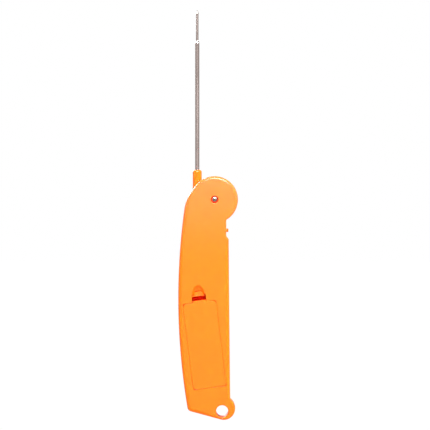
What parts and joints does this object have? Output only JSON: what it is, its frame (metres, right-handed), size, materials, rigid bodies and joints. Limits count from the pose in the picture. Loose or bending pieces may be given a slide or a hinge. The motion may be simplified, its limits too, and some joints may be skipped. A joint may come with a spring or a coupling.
{
  "type": "folding meat thermometer",
  "caption": "Slim orange folding food thermometer with a steel probe that swings out of a knife-shaped clamshell case, a battery door on the back and a hanging eye at the foot.",
  "frame": {"origin": "centre of the hanging eye, half way through the case's thickness", "axes": "+Z from the eye to the probe's tip with the probe open, +Y out of the back with the battery door, +X towards the long curved side"},
  "size_m": [0.042, 0.0207, 0.2868],
  "materials": {
    "orange_shell": "satin moulded ABS",
    "orange_hub": "satin moulded ABS",
    "probe_steel": "drawn stainless tube",
    "screw_steel": "plated screw steel",
    "spring_steel": "nickel-plated spring strip and wire",
    "white_nylon": "natural nylon",
    "cell": "shrink-wrapped cell",
    "circuit_board": "solder-masked glass epoxy",
    "black_plastic": "moulded plastic",
    "lens": "clear moulded window",
    "lcd_glass": "reflective display glass",
    "grey_rubber": "silicone rubber",
    "button_rubber": "silicone rubber key",
    "sensor_glass": "glass-coated bead",
    "wire": "enamelled wire"
  },
  "bodies": {
    "case": {"back_shell": "orange_shell", "front_shell": "orange_shell", "pivot_screw": "screw_steel", "friction_washer": "white_nylon", "wave_washer": "spring_steel", "case_screw_1": "screw_steel", "case_screw_2": "screw_steel", "case_screw_3": "screw_steel", "case_screw_4": "screw_steel", "battery_cell_1": "cell", "battery_cell_2": "cell", "positive_contact": "spring_steel", "negative_contact": "spring_steel", "bridge_contact": "spring_steel", "negative_spring": "spring_steel", "bridge_spring": "spring_steel", "circuit_board": "circuit_board", "processor_chip": "black_plastic", "display_lens": "lens", "lcd_panel": "lcd_glass", "lcd_frame": "white_nylon", "lower_zebra_strip": "grey_rubber", "upper_zebra_strip": "grey_rubber", "power_switch": "black_plastic", "hold_switch": "black_plastic", "unit_switch": "black_plastic", "fold_switch": "black_plastic", "probe_lead": "grey_rubber"},
    "probe": {"probe_hub": "orange_hub", "probe_stem": "probe_steel", "sensor_bead": "sensor_glass", "sensor_wire": "wire"},
    "door": {"battery_door": "orange_shell"},
    "power_key": {"power_button": "button_rubber"},
    "hold_key": {"hold_button": "button_rubber"},
    "unit_key": {"unit_button": "button_rubber"},
    "plunger": {"fold_plunger": "orange_hub"}
  },
  "joints": [
    {"name": "probe_fold", "type": "hinge", "parent": "case", "child": "probe", "pos_m": [0.0053, 0, 0.14795], "axis": [0, -1, 0], "range_deg": [0, 180]},
    {"name": "battery_door_tilt", "type": "hinge", "parent": "case", "child": "door", "pos_m": [0.00854, 0.01, 0.01662], "axis": [-0.9925, 0, 0.1219], "range_deg": [0, 60]},
    {"name": "power_press", "type": "slide", "parent": "case", "child": "power_key", "axis": [0, 1, 0], "range_m": [0, 0.0005], "stiffness_N_per_m": 800, "springref_m": -0.0003},
    {"name": "hold_press", "type": "slide", "parent": "case", "child": "hold_key", "axis": [0, 1, 0], "range_m": [0, 0.0005], "stiffness_N_per_m": 800, "springref_m": -0.0003},
    {"name": "unit_press", "type": "slide", "parent": "case", "child": "unit_key", "axis": [0, 1, 0], "range_m": [0, 0.0005], "stiffness_N_per_m": 800, "springref_m": -0.0003},
    {"name": "fold_switch_press", "type": "slide", "parent": "case", "child": "plunger", "axis": [1, 0, 0], "range_m": [0, 0.0012], "stiffness_N_per_m": 400, "springref_m": -0.0008}
  ]
}
